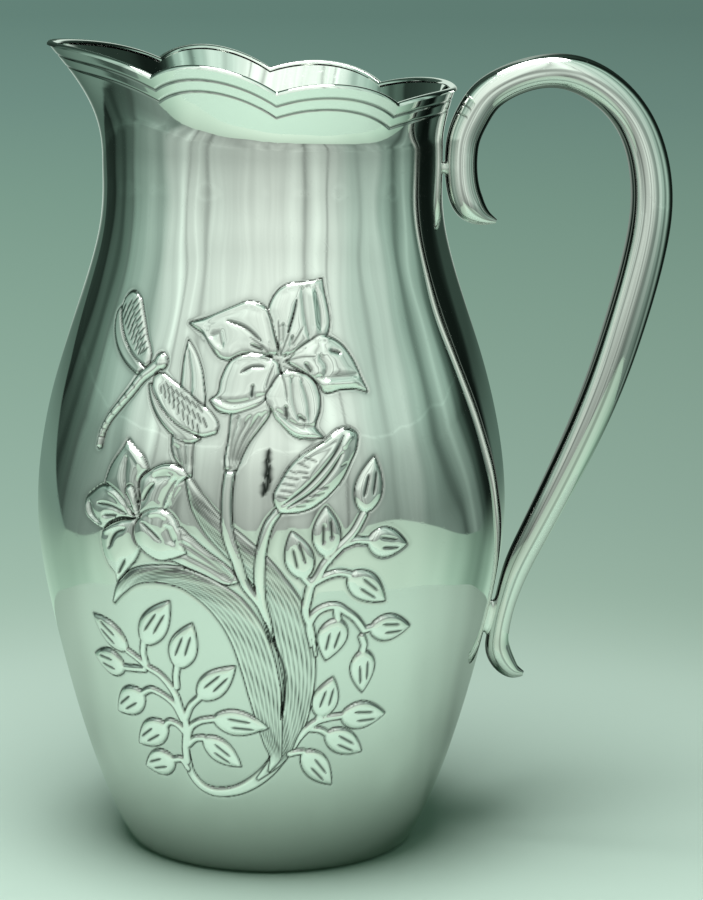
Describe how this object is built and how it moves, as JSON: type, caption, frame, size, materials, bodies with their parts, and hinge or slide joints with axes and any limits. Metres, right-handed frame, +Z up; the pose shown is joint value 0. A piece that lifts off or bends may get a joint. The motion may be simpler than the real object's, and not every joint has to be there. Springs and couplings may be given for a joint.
{
  "type": "water pitcher",
  "caption": "Polished silver water pitcher with a scalloped flared lip, pulled spout, hollow horn-ended handle and lily relief.",
  "frame": {"origin": "centre of the base on the body's axis, at the standing plane", "axes": "+Z up along the body's axis, -X towards the spout, +X towards the handle, -Y towards the viewer of the picture"},
  "size_m": [0.1834, 0.1374, 0.2333],
  "materials": {
    "silver_sheet": "mirror polished silver with darkened chasing in the relief",
    "silver_wire": "mirror polished silver wire",
    "silver_bottom": "silver, lightly turned and less polished",
    "silver_handle": "mirror polished silver with fine handling scratches",
    "silver_solder": "filed silver solder"
  },
  "bodies": {
    "root": {"body": "silver_sheet", "lip_wire": "silver_wire", "bottom_disc": "silver_bottom", "handle_near_half": "silver_handle", "handle_far_half": "silver_handle", "upper_stud": "silver_solder", "lower_pad": "silver_solder"}
  },
  "joints": []
}
